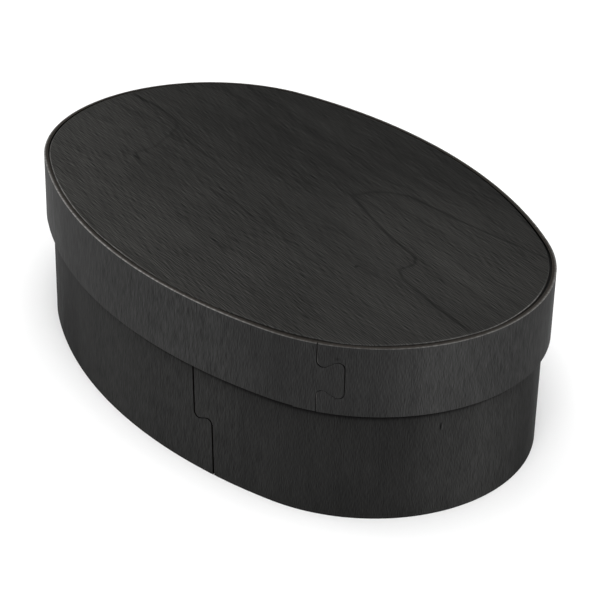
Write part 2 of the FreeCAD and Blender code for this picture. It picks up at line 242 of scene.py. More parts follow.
class BoxKeys(bpy.types.PropertyGroup):
    """Place and shape of the jigsaw keys and butt joints, measured along the outer face."""

    lid_key_place: length("Lid key", "Middle of the lid's key from the long side's middle", 104.2 * MM)
    lid_key_length: length("Lid key length", "Reach of the lid's tongue", 9.7 * MM)
    lid_key_height: length("Lid key height", "Height of the lid's tongue", 13.9 * MM)
    lid_key_flare: angle("Lid key flare", "Undercut of the lid's tongue", 30.0)
    lid_tongue_turn: angle("Lid tongue turn", "Turn of the tongue in its socket", 0.5)
    lid_kerf: length("Lid seam", "Open seam round the lid's key", 0.17 * MM)
    lid_slide: length("Lid slide", "How far the lid's tongue is drawn back out of its socket", 0.15 * MM)
    lid_butt_place: length("Lid lining joint", "Butt joint of the lid's inner ply", 91.1 * MM)
    base_key_place: length("Base key", "Middle of the base's key from the long side's middle", 49.2 * MM)
    base_key_length: length("Base key length", "Reach of the base's tongue", 8.6 * MM)
    base_key_height: length("Base key height", "Height of the base's tongue", 23.8 * MM)
    base_key_flare: angle("Base key flare", "Undercut of the base's tongue", 20.0)
    base_seam_lean: angle("Base seam lean", "Lean of the base's seam", 2.0)
    base_kerf: length("Base seam", "Open seam round the base's key", 0.34 * MM)
    base_slide: length("Base slide", "How far the base's tongue is drawn back out of its socket", 0.28 * MM)
    base_butt_place: length("Base lining joint", "Butt joint of the base's inner ply", 65.0 * MM)
    butt_kerf: length("Butt seam", "Open seam of the butt joints", 0.2 * MM)


class StainLook(bpy.types.PropertyGroup):
    """Colours of the stained wood, with painted shade in its open seams and a painted highlight on its
    rounded edges.
    """

    lid_wall: colour("Lid stain", "Black stain outside on the lid's wall", (0.0280, 0.0280, 0.0277))
    base_wall: colour("Base stain", "Black stain outside on the base's wall", (0.0180, 0.0180, 0.0176))
    board: colour("Board stain", "Black stain on the lid's top and the bottom", (0.0130, 0.0128, 0.0119))
    lining: colour("Lining stain", "Black stain inside", (0.0150, 0.0145, 0.0138))
    end_grain: colour("Edge stain", "Stain on the cut edges of the ply", (0.0248, 0.0221, 0.0195))
    # Painted shade: a near-black colour laid on the cut faces inside the open seams.
    seam_shade: colour("Seam stain", "Stain gathered inside the open seams", (0.0030, 0.0026, 0.0024))
    # Partly rubbed stain and partly a painted highlight on the rounded edges.
    worn_and_lit: colour("Worn edge", "Where the stain is rubbed thin on an edge", (0.210, 0.205, 0.198))
    lid_gloss: gloss("Lid gloss", "Strength of the reflection on the lid's wall", 0.02)
    base_gloss: gloss("Base gloss", "Strength of the reflection on the base's wall", 0.011)
    board_gloss: gloss("Board gloss", "Strength of the reflection on the boards", 0.13)


class StageLook(bpy.types.PropertyGroup):
    """Floor and light."""

    floor: colour("Floor", "Plain pale floor", (0.9, 0.9, 0.9))
    power: FloatProperty(name="Light", description="Scale of all softboxes", default=1.0, min=0)
    ambient: FloatProperty(name="Ambient", description="Even white light all round", default=0.07, min=0)


class Value:
    """A node's output that takes part in Python arithmetic."""

    def __init__(self, graph, socket):
        self.graph = graph
        self.socket = socket

    def math(self, operation, *others):
        inputs = dict(enumerate((self,) + others))
        return self.graph.add("ShaderNodeMath", {"operation": operation}, inputs)

    def __add__(self, other):
        return self.math("ADD", other)

    def __sub__(self, other):
        return self.math("SUBTRACT", other)

    def __mul__(self, other):
        return self.math("MULTIPLY", other)

    def __truediv__(self, other):
        return self.math("DIVIDE", other)

    def __radd__(self, other):
        return self + other

    def __rmul__(self, other):
        return self * other

    def __rsub__(self, other):
        return self.graph.add("ShaderNodeMath", {"operation": "SUBTRACT"}, {0: other, 1: self})

    def __gt__(self, other):
        return self.math("GREATER_THAN", other)

    def abs(self):
        return self.math("ABSOLUTE")

    def at_least(self, other):
        return self.math("MAXIMUM", other)

    def at_most(self, other):
        return self.math("MINIMUM", other)

    def out(self, name):
        """Another output of the same node."""
        return Value(self.graph, self.socket.node.outputs[name])


class Graph:
    """Adds nodes to a shader or geometry tree."""

    def __init__(self, tree):
        self.tree = tree

    def add(self, kind, settings=None, inputs=None, output=0):
        """Make a node, apply its settings, then its inputs, and give back one output."""
        node = self.tree.nodes.new(kind)
        for name, setting in (settings or {}).items():
            setattr(node, name, setting)
        for name, value in (inputs or {}).items():
            socket = node.inputs[name]
            if isinstance(value, Value):
                self.tree.links.new(value.socket, socket)
            else:
                socket.default_value = value
        return Value(self, node.outputs[output]) if node.outputs else node

    def smooth(self, value, low, high, start=0.0, end=1.0):
        """Ease from start to end while value goes from low to high."""
        settings = {"interpolation_type": "SMOOTHSTEP"}
        inputs = {"Value": value, "From Min": low, "From Max": high, "To Min": start, "To Max": end}
        return self.add("ShaderNodeMapRange", settings, inputs)

    def attribute(self, name):
        return self.add("ShaderNodeAttribute", {"attribute_name": name}).out("Fac")

    def noise(self, grain, width, reach, seed, detail, aside=0.0):
        """Noise of a given width across the grain and reach along it, placed by its seed."""
        offset = (seed * SEED_ACROSS + aside, seed * SEED_ALONG, seed)
        inputs = {0: grain, 1: (1.0 / width, 1.0 / reach, 1.0), 2: offset}
        drawn_out = self.add("ShaderNodeVectorMath", {"operation": "MULTIPLY_ADD"}, inputs)
        inputs = {"Vector": drawn_out, "Scale": 1.0, "Detail": detail, "Roughness": NOISE_ROUGHNESS}
        return self.add("ShaderNodeTexNoise", {}, inputs)

    def streak(self, grain, width, reach, seed, detail):
        """Soft streaks along the grain, zero on average."""
        return self.noise(grain, width, reach, seed, detail) - 0.5

    def fibre(self, grain, width, reach, seed):
        """Crisp streaks, each dark on one side and light on the other, zero on average."""
        dark = self.noise(grain, width, reach, seed, 0.0)
        light = self.noise(grain, width, reach, seed, 0.0, FIBRE_SHIFT)
        return dark - light

    def mix(self, factor, first, second):
        """Mix two colours."""
        inputs = {0: factor, 6: first, 7: second}
        return self.add("ShaderNodeMix", {"data_type": "RGBA"}, inputs, 2)


def rgba(shade):
    """A colour with full opacity."""
    return (*shade, 1.0)


def new_material(name, reflection=0.5):
    """A material with one Principled shader. Gives back its graph and the shader node."""
    material = bpy.data.materials.new(name)
    material.use_nodes = True
    material.node_tree.nodes.clear()
    graph = Graph(material.node_tree)
    surface = graph.add("ShaderNodeBsdfPrincipled", {}, {"Specular IOR Level": reflection})
    graph.add("ShaderNodeOutputMaterial", {}, {"Surface": surface})
    return material, graph, surface.socket.node


def link(graph, value, node, name):
    """Join a value to a named socket of a node."""
    graph.tree.links.new(value.socket, node.inputs[name])


def grain_layers(graph, grain, run):
    """Noise drawn out along the grain, from fine pores to broad clouds, each zero on average.

    The grain vector has X across the fibres and Y along them. Each layer has its width and
    reach, its seed and, but for the pores, its detail. The run lengthens the fine fibres.
    """
    return {
        "pore": graph.fibre(grain, 0.6, 3.5 * run, 6.0),
        "fine": graph.streak(grain, 0.8, 9.0 * run, 1.0, 1.0),
        "middle": graph.streak(grain, 2.2, 30.0, 2.0, 2.0),
        "short": graph.streak(grain, 1.2, 9.0, 7.0, 1.0),
        "broad": graph.streak(grain, 8.0, 60.0, 3.0, 1.0),
        "cloud": graph.streak(grain, 40.0, 45.0, 4.0, 2.0),
        "fleck": graph.streak(grain, 2.2, 2.6, 5.0, 2.0),
    }


def blended(layers, weights):
    """Weighted sum of layers of the grain."""
    parts = [layers[name] * weight for name, weight in weights.items()]
    return sum(parts[1:], parts[0])


def finish_wood(graph, surface, layers, tone, stain, look, relief):
    """Stain colour from its tone, ply on the cut edges, painted shade in the open seams, wear and a
    painted highlight on the rounded edges, raised grain.
    """
    inputs = {0: tuple(stain), "Scale": tone}
    stained = graph.add("ShaderNodeVectorMath", {"operation": "SCALE"}, inputs)
    veneer = graph.smooth((graph.attribute("depth") - 0.5).abs(), *VENEER)
    inputs = {0: tuple(look.end_grain), "Scale": veneer * (1.0 + blended(layers, EDGE_GRAIN))}
    layered = graph.add("ShaderNodeVectorMath", {"operation": "SCALE"}, inputs)
    wood = graph.mix(graph.attribute("cut"), stained, layered)
    # Painted shade in the open seams.
    seam = graph.mix(graph.attribute("seam_shade"), wood, rgba(look.seam_shade))
    # Wear and a painted highlight on the rounded edges.
    rubbed_and_lit = graph.attribute("wear_and_highlight") * graph.smooth(blended(layers, RUB_AND_HIGHLIGHT_GRAIN), *RUB_AND_HIGHLIGHT_PATCHES)
    link(graph, graph.mix(rubbed_and_lit, seam, rgba(look.worn_and_lit)), surface, "Base Color")
    link(graph, ROUGHNESS + blended(layers, ROUGH_GRAIN), surface, "Roughness")
    inputs = {"Height": blended(layers, GRAIN_HEIGHT), "Strength": relief, "Distance": RELIEF_DEPTH}
    link(graph, graph.add("ShaderNodeBump", {}, inputs), surface, "Normal")


def clouded(graph, tone, along, across, clouds):
    """A tone with soft oval clouds or flecks on it. All lengths are in millimetres."""
    for x, y, reach, height, gain in clouds:
        aside = (along - x) / reach
        above = (across - y) / height
        tone = tone * graph.smooth(aside * aside + above * above, 0.0, 1.0, 1.0 + gain, 1.0)
    return tone


def stained_wall(name, stain, reflection, look, short=1.0, flecks=(), joint=None, cover=None, groove=None):
    """Matt black stain on thin ply with an upright grain.

    Short is how strongly short fibres show. The joint is where the inner ply's butt joint shows
    through as a faint line, cover is the lid's lower edge, just under which a painted shadow line
    is laid and from which the stain is deeper, as the lid has kept the light off it, and groove is
    the top of the open joint round the lid's board, where painted shade darkens the inner face.
    """
    material, graph, surface = new_material(name, reflection)
    strip = graph.add("ShaderNodeUVMap", {"uv_map": "strip"})
    fineness = WALL_FINENESS / MM
    inputs = {0: strip, 1: (fineness, fineness, 0.0)}
    grain = graph.add("ShaderNodeVectorMath", {"operation": "MULTIPLY"}, inputs)
    layers = grain_layers(graph, grain, WALL_RUN)
    fibres = layers["short"] * graph.attribute("fibres") * short
    tone = (1.0 + blended(layers, WALL_GRAIN) + fibres) * graph.attribute("tone")
    place = graph.add("ShaderNodeSeparateXYZ", {}, {0: strip})
    along = place / MM
    height = place.out("Y") / MM
    tone = clouded(graph, tone, along, height, flecks)
    if joint:
        tone = tone * graph.smooth((along - joint / MM).abs(), *JOINT_LINE)
    # Painted shadow line just under the lid's lower edge, easing to a deeper stain behind the lid.
    if cover:
        above = height - cover / MM
        tone = tone * (1.0 - graph.smooth(above, *LID_SHADOW_LINE) + graph.smooth(above, *UNFADED))
    # Painted shade on the lining's inner face, down in the joint line round the lid's board.
    if groove:
        inner_face = graph.attribute("depth") > INNER_FACE
        tone = tone * (1.0 - graph.smooth(height - groove / MM, *LINING_GROOVE_SHADE) * inner_face)
    finish_wood(graph, surface, layers, tone, stain, look, WALL_RELIEF)
    return material


def line_distance(along, across, points):
    """Distance in millimetres from a line through the given points."""
    nearest = None
    for (x, y), (next_x, next_y) in zip(points, points[1:]):
        run, climb = next_x - x, next_y - y
        square = run ** 2 + climb ** 2
        share = (along - x) * (run / square) + (across - y) * (climb / square)
        share = share.at_least(0.0).at_most(1.0)
        aside = along - x - share * run
        above = across - y - share * climb
        distance = aside * aside + above * above
        nearest = distance if nearest is None else nearest.at_most(distance)
    return nearest.math("SQRT")


def figure(graph, along, across, layers):
    """Tone of the lid's flat-sawn board: two dark growth-ring lines, soft clouds, and painted shade that
    darkens the far side.
    """
    # Painted shade across the board, darker towards the far side.
    tone = graph.smooth(across, *ACROSS_SHADE) * graph.smooth(along, *LEFT_TONE)
    tone = tone * graph.smooth(along, *RIGHT_TONE)
    along_line = along + layers["middle"] * LINE_WANDER
    across_line = across + layers["broad"] * LINE_WANDER
    for points, strength in ((RING_LINE, RING_STRENGTH), (FAINT_LINE, FAINT_STRENGTH)):
        distance = line_distance(along_line, across_line, points)
        tone = tone * graph.smooth(distance, LINE_FULL, LINE_GONE, 1.0 - strength, 1.0)
    return clouded(graph, tone, along, across, CLOUDS)


def stained_board(name, stain, look, shift, figured):
    """Matt black stain on a board whose grain runs along the oval.

    The shift moves the fibres, so that two boards differ, and figured adds the growth rings.
    """
    material, graph, surface = new_material(name, look.board_gloss)
    place = graph.add("ShaderNodeTexCoord", output="Object")
    flat = graph.add("ShaderNodeSeparateXYZ", {}, {0: place})
    along = flat.out("X") / MM
    across = flat.out("Y") / MM
    bent = (across + along * graph.smooth(across, *FIBRE_LEAN)) * BOARD_FINENESS + shift
    grain = graph.add("ShaderNodeCombineXYZ", {}, {"X": bent, "Y": along})
    layers = grain_layers(graph, grain, BOARD_RUN)
    fibres = blended(layers, BOARD_GRAIN) * graph.smooth(across, *FIBRE_SHOW)
    tone = (1.0 + fibres + layers["cloud"] * BOARD_CLOUD) * graph.attribute("tone")
    if figured:
        tone = tone * figure(graph, along, across, layers)
    finish_wood(graph, surface, layers, tone, stain, look, BOARD_RELIEF)
    return material


class Oval:
    """The four-arc oval, moved inwards by inset."""

    def __init__(self, sizes, inset):
        self.length = sizes.lid_length - 2 * inset
        self.width = sizes.lid_width - 2 * inset
        self.end_radius = sizes.end_radius - inset
        reach = self.length / 2 - self.end_radius
        half = self.width / 2
        self.side_radius = (reach ** 2 + half ** 2 - self.end_radius ** 2) / (2 * (half - self.end_radius))
        turn = math.atan2(self.side_radius - half, reach)
        self.side_run = self.side_radius * (math.pi / 2 - turn)
        self.perimeter = 4 * (self.side_run + self.end_radius * turn)

    def signed(self, place):
        """The same place, counted either way from the middle of the near long side."""
        half = self.perimeter / 2
        return (place + half) % self.perimeter - half


def bend_tree():
    """Geometry Nodes that bend a flat strip round the oval.

    The strip's X runs along the oval from the middle of the near long side, Y goes in
    through the wall and Z stays up.
    """
    tree = bpy.data.node_groups.new("Bend round the oval", "GeometryNodeTree")
    tree.is_modifier = True
    tree.interface.new_socket("Geometry", in_out="INPUT", socket_type="NodeSocketGeometry")
    for name in ("Length", "Width", "End radius"):
        tree.interface.new_socket(name, in_out="INPUT", socket_type="NodeSocketFloat")
    tree.interface.new_socket("Material", in_out="INPUT", socket_type="NodeSocketMaterial")
    tree.interface.new_socket("Geometry", in_out="OUTPUT", socket_type="NodeSocketGeometry")
    graph = Graph(tree)
    given = graph.add("NodeGroupInput")
    end_radius = given.out("End radius")
    half_width = given.out("Width") * 0.5
    reach = given.out("Length") * 0.5 - end_radius
    rise = reach * reach + half_width * half_width - end_radius * end_radius
    side_radius = rise / (2.0 * (half_width - end_radius))
    turn = (side_radius - half_width).math("ARCTAN2", reach)
    side_run = side_radius * (math.pi / 2 - turn)
    half_round = 2.0 * side_run + 2.0 * end_radius * turn

    flat = graph.add("ShaderNodeSeparateXYZ", {}, {0: graph.add("GeometryNodeInputPosition")})
    along = flat.out("X")
    count = ((along + side_run) / half_round).math("FLOOR")
    side = 1.0 - 2.0 * count.math("FLOORED_MODULO", 2.0)
    step = along - count * half_round
    on_end = step > side_run
    side_angle = step / side_radius - math.pi / 2
    end_angle = (step - side_run) / end_radius - turn
    angle = side_angle + on_end * (end_angle - side_angle)
    radius = side_radius + on_end * (end_radius - side_radius) - flat.out("Y")
    centre_x = on_end * reach
    centre_y = (1.0 - on_end) * (side_radius - half_width)
    x = side * (centre_x + radius * angle.math("COSINE"))
    y = side * (centre_y + radius * angle.math("SINE"))
    bent = graph.add("ShaderNodeCombineXYZ", {}, {"X": x, "Y": y, "Z": flat.out("Z")})
    moved = graph.add("GeometryNodeSetPosition", {}, {"Geometry": given, "Position": bent})
    real = graph.add("GeometryNodeRealizeInstances", {}, {"Geometry": moved})
    inputs = {"Geometry": real, "Material": given.out("Material")}
    painted = graph.add("GeometryNodeSetMaterial", {}, inputs)
    graph.add("NodeGroupOutput", {}, {"Geometry": painted})
    return tree


def bend(name, mesh, tree, oval, material):
    """Bend a flat mesh round the oval and give back the finished object."""
    piece = bpy.data.objects.new(name, mesh)
    bpy.context.scene.collection.objects.link(piece)
    modifier = piece.modifiers.new("Bend", "NODES")
    modifier.node_group = tree
    values = {
        "Length": oval.length, "Width": oval.width, "End radius": oval.end_radius, "Material": material,
    }
    for item in tree.interface.items_tree:
        if item.item_type == "SOCKET" and item.in_out == "INPUT" and item.name in values:
            modifier[item.identifier] = values[item.name]
    weigh = piece.modifiers.new("Weigh normals", "WEIGHTED_NORMAL")
    weigh.keep_sharp = True
    graph = bpy.context.evaluated_depsgraph_get()
    bent = bpy.data.meshes.new_from_object(piece.evaluated_get(graph))
    piece.modifiers.clear()
    piece.data = bent
    bent.name = name
    bpy.data.meshes.remove(mesh)
    return piece


def dress(piece, node, body):
    """Make a piece move with a body and stand for a solid."""
    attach(piece, body)
    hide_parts(node)


class KeyShape:
    """Outline of a dovetailed jigsaw key about its middle, its tongue pointing to +X."""

    def __init__(self, reach, height, radius, flare):
        self.half = reach / 2
        self.radius = radius
        self.slope = flare
        self.head = Vector((self.half - radius, height / 2 - radius))
        self.up = Vector((-math.sin(self.slope), math.cos(self.slope)))
        along = Vector((math.cos(self.slope), math.sin(self.slope)))
        touch = self.head + self.up * radius
        travel = (radius - self.half - touch.x + radius * math.sin(self.slope)) / math.cos(self.slope)
        self.root = touch + along * travel + self.up * radius

    def points(self, shift, side, reach):
        """Points from top to bottom, moved off the middle line by shift, away from the tongue."""
        left = shift - self.half
        upper = [Vector((left, reach))]
        upper += arc_points(self.root, self.radius - shift, math.pi, 1.5 * math.pi + self.slope)
        upper += arc_points(self.head, self.radius + shift, math.pi / 2 + self.slope, 0.0)
        lower = [Vector((point.x, -point.y)) for point in reversed(upper)]
        return [Vector((point.x * side, point.y)) for point in upper + lower]


def arc_points(centre, radius, start, end):
    """Points along an arc between two angles."""
    count = max(2, round(abs(end - start) / ARC_STEP))
    points = []
    for index in range(count + 1):
        angle = start + (end - start) * index / count
        points.append(centre + Vector((math.cos(angle), math.sin(angle))) * radius)
    return points


def turned(points, lean, low, high):
    """Turn an outline by lean, then end it level at the heights high and low."""
    rotation = Matrix.Rotation(lean, 2)
    spun = [rotation @ point for point in points]
    for end, beside, level in ((0, 1, high), (-1, -2, low)):
        share = (level - spun[beside].y) / (spun[end].y - spun[beside].y)
        spun[end] = spun[beside].lerp(spun[end], share)
        spun[end].y = level
    return spun


def eased(stops, place):
    """Value at a place, eased between the (place, value) stops."""
    for (before, first), (after, second) in zip(stops, stops[1:]):
        if place <= after:
            share = max(0.0, (place - before) / (after - before))
            return first + (second - first) * share * share * (3 - 2 * share)
    return stops[-1][1]


def round_edges(mesh, edges, radius):
    """Round edges of the working mesh."""
    bmesh.ops.bevel(
        mesh, geom=edges, offset=radius, segments=BEVEL_STEPS, profile=0.5, affect="EDGES",
        clamp_overlap=True,
    )


def end_edges(mesh, end_edge):
    """Edges of the face side along the strip's end, without the level edges that meet it."""
    face = next(each for each in mesh.faces if all(vert.co.y < TINY for vert in each.verts))
    near = min(point.x for point in end_edge) - TINY
    high, low = end_edge[0].y - FOOT_BAND, end_edge[-1].y + FOOT_BAND
    chosen = []
    for edge in face.edges:
        middle = (edge.verts[0].co + edge.verts[1].co) / 2
        if middle.x > near and low < middle.z < high:
            chosen.append(edge)
    return chosen


def rub_and_highlight_at(spot, start_edge, edge_round):
    """How far a rounded edge is lightened, partly by rubbed stain and partly by a painted highlight:
    on top, along the open seam's straight runs, and a little at the foot and round the key.
    """
    high, low = start_edge[0], start_edge[-1]
    if spot.z > high.y - edge_round - TINY:
        return TOP_RUB_AND_HIGHLIGHT
    if spot.z < low.y + FOOT_BAND:
        return FOOT_RUB
    seam = high.lerp(low, (high.y - spot.z) / (high.y - low.y))
    return SEAM_HIGHLIGHT if abs(spot.x - seam.x) < 2 * edge_round else KEY_RUB


def strip_mesh(name, oval, start_edge, foot, end_edge, thickness, roundings, tones, rubs_and_highlights):
    """Flat strip of ply with rounded face edges, cut into narrow bays.

    Its outline runs down the start edge, along the foot and up the end edge. The roundings
    are those of the level and start edges, and of the end edge.
    """
    outline = [Vector((p.x, 0, p.y)) for p in start_edge + foot + list(reversed(end_edge))]
    mesh = bmesh.new()
    wear_and_highlight = mesh.verts.layers.float.new("wear_and_highlight")
    front = [mesh.verts.new(point) for point in outline]
    back = [mesh.verts.new(point + Vector((0, thickness, 0))) for point in outline]
    mesh.faces.new(front)
    mesh.faces.new(list(reversed(back)))
    down, along = len(start_edge) - 1, len(foot) + 1
    seam_shade = mesh.faces.layers.float.new("seam_shade")
    sides = []
    for index in range(len(front)):
        following = (index + 1) % len(front)
        side = mesh.faces.new((front[following], front[index], back[index], back[following]))
        # The seam's cut faces take the painted shade.
        side[seam_shade] = 1.0 if index < down or down + along <= index < len(front) - 1 else 0.0
        sides.append(mesh.edges.get((front[index], front[following])))
    mesh.normal_update()
    edge_round, end_round = roundings
    round_edges(mesh, sides[-1:] + sides[:down + along], edge_round)
    # Only the points on the rounding are rubbed and take the painted highlight, not its inner edge.
    rounding = 0.9 * edge_round
    for vert in mesh.verts:
        if TINY < vert.co.y < rounding:
            vert[wear_and_highlight] = rub_and_highlight_at(vert.co, start_edge, edge_round)
    round_edges(mesh, end_edges(mesh, end_edge), end_round)
    mark_strip(mesh, thickness)
    slice_bays(mesh, outline)
    shade_strip(mesh, oval, tones, rubs_and_highlights)
    return smoothed(mesh, name)


def mark_strip(mesh, thickness):
    """Store how deep each point lies and which faces are cut edges."""
    depth = mesh.verts.layers.float.new("depth")
    cut = mesh.faces.layers.float.new("cut")
    seam_shade = mesh.faces.layers.float["seam_shade"]
    mesh.normal_update()
    for vert in mesh.verts:
        vert[depth] = vert.co.y / thickness
    for each in mesh.faces:
        each[cut] = 1.0 if abs(each.normal.y) < CUT_LEAN else 0.0
        each[seam_shade] *= each[cut]


def shade_strip(mesh, oval, tones, rubs_and_highlights):
    """Store the strip's tone, which on the outer walls is partly painted light and shade, scale its
    wear and painted highlight along its length, and lay out its flat map.
    """
    wear_and_highlight = mesh.verts.layers.float["wear_and_highlight"]
    tone = mesh.verts.layers.float.new("tone")
    fibres = mesh.verts.layers.float.new("fibres")
    for vert in mesh.verts:
        place = oval.signed(vert.co.x)
        vert[tone] = eased(tones, place)
        vert[fibres] = eased(FIBRES, place)
        vert[wear_and_highlight] *= eased(rubs_and_highlights, place)
    strip = mesh.loops.layers.uv.new("strip")
    for each in mesh.faces:
        for loop in each.loops:
            loop[strip].uv = (loop.vert.co.x, loop.vert.co.z)


def smoothed(mesh, name):
    """Shade a mesh smooth but for its sharp edges and hand it over."""
    mesh.normal_update()
    for each in mesh.faces:
        each.smooth = True
    for edge in mesh.edges:
        edge.smooth = edge.calc_face_angle(0.0) < SHARP
    return handed_over(mesh, name)


def handed_over(mesh, name):
    """A mesh datablock made from the working mesh, which is freed."""
    result = bpy.data.meshes.new(name)
    mesh.to_mesh(result)
    mesh.free()
    return result


def slice_bays(mesh, outline):
    """Cut the strip across into bays narrow enough to bend round the oval."""
    first = min(point.x for point in outline)
    last = max(point.x for point in outline)
    count = int((last - first) / BAY)
    for index in range(1, count):
        x = first + (last - first) * index / count
        crossing = [
            each for each in mesh.faces
            if min(v.co.x for v in each.verts) < x - TINY and max(v.co.x for v in each.verts) > x + TINY
        ]
        geometry = set(crossing)
        for each in crossing:
            geometry.update(each.edges)
            geometry.update(each.verts)
        bmesh.ops.bisect_plane(mesh, geom=list(geometry), dist=TINY, plane_co=(x, 0, 0), plane_no=(1, 0, 0))


def board_rows(sizes, rise):
    """Rows of a board's edge, from its back to its face.

    Each gives the share of the joint line's width that it stands off the wall, its way in past
    that, its height above the back, how far it is lightened by rubbed stain and a painted highlight,
    and its tone, with painted shade down in the joint line.
    """
    radius = sizes.board_round
    ledge = rise - sizes.groove_depth
    # The rows down in the joint line take the painted shade.
    rows = [(0.0, 0.0, 0.0, 0.0, BOARD_GROOVE_SHADE), (0.0, 0.0, ledge, 0.0, BOARD_GROOVE_SHADE), (1.0, 0.0, ledge, 0.0, BOARD_GROOVE_SHADE)]
    for index in range(ROUND_STEPS + 1):
        angle = math.pi / 2 * index / ROUND_STEPS
        inwards = radius * (1 - math.cos(angle))
        height = rise - radius * (1 - math.sin(angle))
        # The rounding is lightened most part way up, partly by rubbed stain and partly by a painted
        # highlight.
        rub_and_highlight = math.sin(angle) * math.sin(2 * angle)
        # The painted shade eases off up the rounding.
        tone = BOARD_GROOVE_SHADE + (1.0 - BOARD_GROOVE_SHADE) * math.sin(angle) ** 2
        rows.append((1.0, inwards, height, rub_and_highlight, tone))
    return rows


def board_mesh(name, oval, bottom, top, face_up, sizes, gaps):
    """A board's rounded face edge, set in from the wall by a wandering gap, and its two caps."""
    rows = board_rows(sizes, top - bottom)
    count = int(oval.perimeter / BAY)
    mesh = bmesh.new()
    wear_and_highlight = mesh.verts.layers.float.new("wear_and_highlight")
    shade = mesh.verts.layers.float.new("tone")
    rings = []
    for share, inwards, height, rub_and_highlight, tone in rows:
        level = bottom + height if face_up else top - height
        ring = []
        for index in range(count):
            place = oval.perimeter * index / count
            here = oval.signed(place)
            vert = mesh.verts.new((place, share * eased(gaps, here) + inwards, level))
            vert[wear_and_highlight] = rub_and_highlight * eased(BOARD_RUBS_AND_HIGHLIGHTS, here)
            vert[shade] = tone
            ring.append(vert)
        rings.append(ring)
    for lower, upper in zip(rings, rings[1:]):
        for index in range(count):
            following = (index + 1) % count
            corners = (lower[index], lower[following], upper[following], upper[index])
            mesh.faces.new(corners if face_up else tuple(reversed(corners)))
    for cap in (list(reversed(rings[0])), rings[-1]):
        mesh.faces.new(cap if face_up else list(reversed(cap)))
    cut = mesh.faces.layers.float.new("cut")
    for each in mesh.faces:
        each.smooth = True
        # The upright faces, which are taller than the rounding, are the board's sawn edge.
        heights = [vert.co.z for vert in each.verts]
        each[cut] = 1.0 if max(heights) - min(heights) > sizes.board_round else 0.0
    square_rows = len(rows) - ROUND_STEPS - 1
    for ring in rings[:square_rows]:
        for index in range(count):
            mesh.edges.get((ring[index], ring[(index + 1) % count])).smooth = False
    return handed_over(mesh, name)


def keyed_strip(name, sizes, oval, key, side, place, kerf, slide, leans, bottom, top, foot, tones, rubs_and_highlights):
    """Flat strip of an outer ply, whose ends are cut to meet in a jigsaw key.

    Side is 1 where the tongue points along the oval, and -1 where it points back. The kerf is
    the open seam, slide is how far the tongue is drawn back, and the leans turn the strip's
    start and its end. The foot holds places along the lower edge with their height above the
    bottom, and the end stops at the last of these heights.
    """
    middle = (top + bottom) / 2
    half = (top - bottom) / 2
    reach = half + SEAM_OVERRUN
    lift = foot[-1][1] if foot else 0.0
    start = turned(key.points(side * kerf / 2, side, reach), leans[0], -half, half)
    end = turned(key.points(-side * kerf / 2, side, reach), leans[1], lift - half, half)
    start = [point + Vector((place + slide / 2, middle)) for point in start]
    end = [point + Vector((place - slide / 2 + oval.perimeter, middle)) for point in end]
    foot = [Vector((x, bottom + z)) for x, z in foot]
    roundings = (sizes.edge_round, sizes.seam_ease)
    return strip_mesh(name, oval, start, foot, end, sizes.outer_ply, roundings, tones, rubs_and_highlights)


def lid_outer_ply(tree, sizes, keys, look):
    """The lid's outer ply, whose lower edge climbs to a small step beside its lining joint."""
    name = "lid_outer_ply"
    oval = Oval(sizes, 0.0)
    joint = keys.lid_butt_place + oval.perimeter
    step = sizes.trim_step
    after_step = step / 4
    mesh = keyed_strip(
        name, sizes, oval,
        key=KeyShape(keys.lid_key_length, keys.lid_key_height, sizes.key_radius, keys.lid_key_flare),
        side=1, place=keys.lid_key_place, kerf=keys.lid_kerf, slide=keys.lid_slide,
        leans=(0.0, keys.lid_tongue_turn), bottom=LID_LOW.z, top=LID_HIGH.z,
        foot=[(joint - TRIM_RUN, 0.0), (joint - TINY, step), (joint + TINY, after_step)],
        tones=LID_TONES_AND_LIGHT, rubs_and_highlights=LID_RUBS_AND_HIGHLIGHTS,
    )
    material = stained_wall(
        name, look.lid_wall, look.lid_gloss, look, short=1.4, flecks=LID_FLECKS, joint=joint,
    )
    dress(bend(name, mesh, tree, oval, material), "lid_outer_band", "lid")


def base_outer_ply(tree, sizes, keys, look):
    """The base's outer ply, with a painted shadow under the lid's lower edge, stained deeper behind it."""
    name = "base_outer_ply"
    oval = Oval(sizes, sizes.base_inset)
    mesh = keyed_strip(
        name, sizes, oval,
        key=KeyShape(keys.base_key_length, keys.base_key_height, sizes.key_radius, keys.base_key_flare),
        side=-1, place=keys.base_key_place, kerf=keys.base_kerf, slide=keys.base_slide,
        leans=(keys.base_seam_lean, keys.base_seam_lean), bottom=BASE_LOW.z, top=BASE_HIGH.z,
        foot=[], tones=BASE_TONES_AND_LIGHT, rubs_and_highlights=BASE_RUBS_AND_HIGHLIGHTS,
    )
    material = stained_wall(
        name, look.base_wall, look.base_gloss, look, short=1.1, flecks=BASE_FLECKS,
        joint=keys.base_butt_place, cover=LID_LOW.z,
    )
    dress(bend(name, mesh, tree, oval, material), "base_outer_band", "base")


class BOX_OT_outer_plies(bpy.types.Operator):
    """Cut the outer plies of lid and base with their jigsaw keys and bend them round the oval"""

    bl_idname = "box.outer_plies"
    bl_label = "Outer plies"

    def execute(self, context):
        sizes, keys, look = context.scene.box_sizes, context.scene.box_keys, context.scene.box_stain
        tree = bend_tree()
        lid_outer_ply(tree, sizes, keys, look)
        base_outer_ply(tree, sizes, keys, look)
        return {"FINISHED"}


